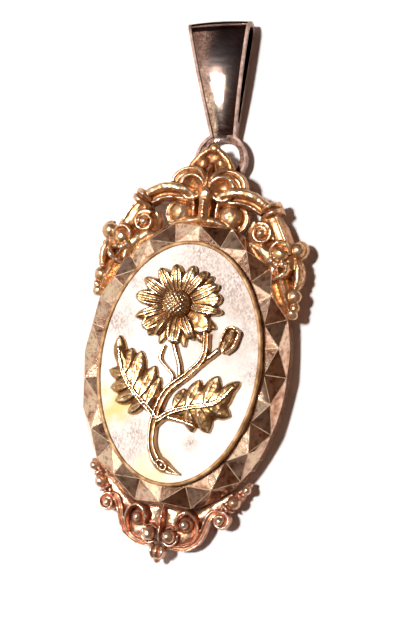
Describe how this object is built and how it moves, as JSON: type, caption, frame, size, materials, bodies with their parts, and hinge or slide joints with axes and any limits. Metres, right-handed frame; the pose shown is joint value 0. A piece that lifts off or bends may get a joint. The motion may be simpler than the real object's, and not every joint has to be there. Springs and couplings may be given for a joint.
{
  "type": "reliquary pendant",
  "caption": "Oval reliquary pendant with a cut bezel, a pale plaque with a raised daisy spray, a pierced scroll crest, a scroll foot and a tapered bail that swings.",
  "frame": {"origin": "centre of the flat back of the oval case", "axes": "+Y up the pendant towards the bail, +Z out of the front, +X to the right seen from the front"},
  "size_m": [0.0266, 0.0671, 0.0075],
  "materials": {
    "bezel_gold": "worn rose gold with brown tarnish",
    "pale_plaque": "pale matt gilt with yellow and mauve-grey tarnish",
    "rim_gold": "worn yellow gold",
    "relief_gold": "bright relief with brown in the hollows",
    "crest_gold": "bright yellow-orange gilt casting with brown in the hollows",
    "base_gold": "rose gold casting with coppery red in the hollows",
    "bail_gold": "polished rose gold with fine scratches"
  },
  "bodies": {
    "pendant": {"case": "bezel_gold", "back_plate": "bezel_gold", "plaque": "pale_plaque", "rim": "rim_gold", "spray": "relief_gold", "crest": "crest_gold", "base_ornament": "base_gold", "bail_loop": "bail_gold"},
    "bail": {"bail": "bail_gold"}
  },
  "joints": [
    {"name": "bail_swing", "type": "hinge", "parent": "pendant", "child": "bail", "pos_m": [0, 0.0228, 0.0015], "axis": [1, 0, 0], "range_deg": [-140, 20]}
  ]
}
